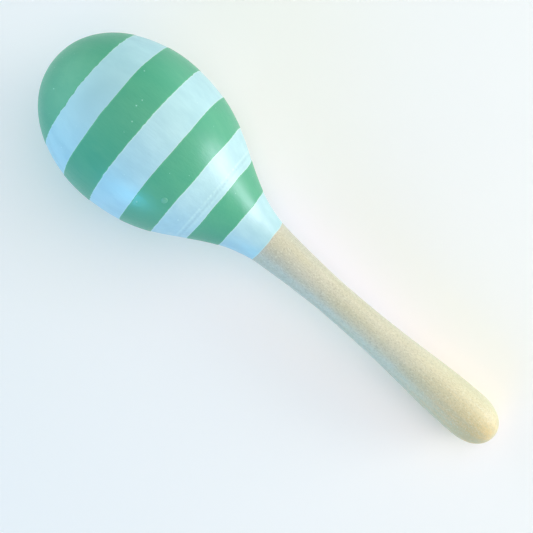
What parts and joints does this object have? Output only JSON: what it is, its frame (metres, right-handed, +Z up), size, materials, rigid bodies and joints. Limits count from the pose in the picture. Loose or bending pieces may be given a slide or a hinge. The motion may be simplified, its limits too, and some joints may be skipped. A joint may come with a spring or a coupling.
{
  "type": "maraca",
  "caption": "Wooden maraca: hollow turned head with loose pellets inside, glued to a turned handle, with white and green painted bands.",
  "frame": {"origin": "on the floor under the middle of the lying maraca's bounding box", "axes": "+X from the crown towards the handle, along the maraca as seen from above; +Z up; the maraca's own axis lies in the XZ plane and falls 7.4 degrees towards the handle"},
  "size_m": [0.1986, 0.0569, 0.0572],
  "materials": {
    "white_painted_wood": "satin white enamel on turned hardwood, bare wood inside",
    "bare_wood": "fine sanded pale hardwood with a thin satin lacquer",
    "white_paint": "satin white enamel",
    "green_paint": "satin sea-green enamel over the white",
    "steel_shot": "dull rolled steel shot"
  },
  "bodies": {
    "maraca": {"head_shell": "white_painted_wood", "handle": "bare_wood", "neck_white_coat": "white_paint", "green_band_1": "green_paint", "green_band_2": "green_paint", "green_band_3": "green_paint", "green_band_4": "green_paint"},
    "pellet_1": {"pellet_1": "steel_shot"},
    "pellet_2": {"pellet_2": "steel_shot"},
    "pellet_3": {"pellet_3": "steel_shot"},
    "pellet_4": {"pellet_4": "steel_shot"},
    "pellet_5": {"pellet_5": "steel_shot"},
    "pellet_6": {"pellet_6": "steel_shot"},
    "pellet_7": {"pellet_7": "steel_shot"},
    "pellet_8": {"pellet_8": "steel_shot"},
    "pellet_9": {"pellet_9": "steel_shot"},
    "pellet_10": {"pellet_10": "steel_shot"},
    "pellet_11": {"pellet_11": "steel_shot"},
    "pellet_12": {"pellet_12": "steel_shot"},
    "pellet_13": {"pellet_13": "steel_shot"},
    "pellet_14": {"pellet_14": "steel_shot"},
    "pellet_15": {"pellet_15": "steel_shot"},
    "pellet_16": {"pellet_16": "steel_shot"},
    "pellet_17": {"pellet_17": "steel_shot"},
    "pellet_18": {"pellet_18": "steel_shot"},
    "pellet_19": {"pellet_19": "steel_shot"},
    "pellet_20": {"pellet_20": "steel_shot"},
    "pellet_21": {"pellet_21": "steel_shot"},
    "pellet_22": {"pellet_22": "steel_shot"},
    "pellet_23": {"pellet_23": "steel_shot"},
    "pellet_24": {"pellet_24": "steel_shot"},
    "pellet_25": {"pellet_25": "steel_shot"},
    "pellet_26": {"pellet_26": "steel_shot"},
    "pellet_27": {"pellet_27": "steel_shot"},
    "pellet_28": {"pellet_28": "steel_shot"},
    "pellet_29": {"pellet_29": "steel_shot"},
    "pellet_30": {"pellet_30": "steel_shot"}
  },
  "joints": [
    {"name": "pellet_1_hop", "type": "slide", "parent": "maraca", "child": "pellet_1", "axis": [0, 0, 1], "range_m": [0, 0.0372]},
    {"name": "pellet_2_hop", "type": "slide", "parent": "maraca", "child": "pellet_2", "axis": [0, 0, 1], "range_m": [0, 0.0394]},
    {"name": "pellet_3_hop", "type": "slide", "parent": "maraca", "child": "pellet_3", "axis": [0, 0, 1], "range_m": [0, 0.0403]},
    {"name": "pellet_4_hop", "type": "slide", "parent": "maraca", "child": "pellet_4", "axis": [0, 0, 1], "range_m": [0, 0.04]},
    {"name": "pellet_5_hop", "type": "slide", "parent": "maraca", "child": "pellet_5", "axis": [0, 0, 1], "range_m": [0, 0.0388]},
    {"name": "pellet_6_hop", "type": "slide", "parent": "maraca", "child": "pellet_6", "axis": [0, 0, 1], "range_m": [0, 0.0366]},
    {"name": "pellet_7_hop", "type": "slide", "parent": "maraca", "child": "pellet_7", "axis": [0, 0, 1], "range_m": [0, 0.0418]},
    {"name": "pellet_8_hop", "type": "slide", "parent": "maraca", "child": "pellet_8", "axis": [0, 0, 1], "range_m": [0, 0.0432]},
    {"name": "pellet_9_hop", "type": "slide", "parent": "maraca", "child": "pellet_9", "axis": [0, 0, 1], "range_m": [0, 0.0435]},
    {"name": "pellet_10_hop", "type": "slide", "parent": "maraca", "child": "pellet_10", "axis": [0, 0, 1], "range_m": [0, 0.0428]},
    {"name": "pellet_11_hop", "type": "slide", "parent": "maraca", "child": "pellet_11", "axis": [0, 0, 1], "range_m": [0, 0.0413]},
    {"name": "pellet_12_hop", "type": "slide", "parent": "maraca", "child": "pellet_12", "axis": [0, 0, 1], "range_m": [0, 0.0387]},
    {"name": "pellet_13_hop", "type": "slide", "parent": "maraca", "child": "pellet_13", "axis": [0, 0, 1], "range_m": [0, 0.0417]},
    {"name": "pellet_14_hop", "type": "slide", "parent": "maraca", "child": "pellet_14", "axis": [0, 0, 1], "range_m": [0, 0.0437]},
    {"name": "pellet_15_hop", "type": "slide", "parent": "maraca", "child": "pellet_15", "axis": [0, 0, 1], "range_m": [0, 0.0444]},
    {"name": "pellet_16_hop", "type": "slide", "parent": "maraca", "child": "pellet_16", "axis": [0, 0, 1], "range_m": [0, 0.0442]},
    {"name": "pellet_17_hop", "type": "slide", "parent": "maraca", "child": "pellet_17", "axis": [0, 0, 1], "range_m": [0, 0.0432]},
    {"name": "pellet_18_hop", "type": "slide", "parent": "maraca", "child": "pellet_18", "axis": [0, 0, 1], "range_m": [0, 0.0412]},
    {"name": "pellet_19_hop", "type": "slide", "parent": "maraca", "child": "pellet_19", "axis": [0, 0, 1], "range_m": [0, 0.0418]},
    {"name": "pellet_20_hop", "type": "slide", "parent": "maraca", "child": "pellet_20", "axis": [0, 0, 1], "range_m": [0, 0.0432]},
    {"name": "pellet_21_hop", "type": "slide", "parent": "maraca", "child": "pellet_21", "axis": [0, 0, 1], "range_m": [0, 0.0435]},
    {"name": "pellet_22_hop", "type": "slide", "parent": "maraca", "child": "pellet_22", "axis": [0, 0, 1], "range_m": [0, 0.0428]},
    {"name": "pellet_23_hop", "type": "slide", "parent": "maraca", "child": "pellet_23", "axis": [0, 0, 1], "range_m": [0, 0.0413]},
    {"name": "pellet_24_hop", "type": "slide", "parent": "maraca", "child": "pellet_24", "axis": [0, 0, 1], "range_m": [0, 0.0387]},
    {"name": "pellet_25_hop", "type": "slide", "parent": "maraca", "child": "pellet_25", "axis": [0, 0, 1], "range_m": [0, 0.0372]},
    {"name": "pellet_26_hop", "type": "slide", "parent": "maraca", "child": "pellet_26", "axis": [0, 0, 1], "range_m": [0, 0.0394]},
    {"name": "pellet_27_hop", "type": "slide", "parent": "maraca", "child": "pellet_27", "axis": [0, 0, 1], "range_m": [0, 0.0403]},
    {"name": "pellet_28_hop", "type": "slide", "parent": "maraca", "child": "pellet_28", "axis": [0, 0, 1], "range_m": [0, 0.04]},
    {"name": "pellet_29_hop", "type": "slide", "parent": "maraca", "child": "pellet_29", "axis": [0, 0, 1], "range_m": [0, 0.0388]},
    {"name": "pellet_30_hop", "type": "slide", "parent": "maraca", "child": "pellet_30", "axis": [0, 0, 1], "range_m": [0, 0.0366]}
  ]
}
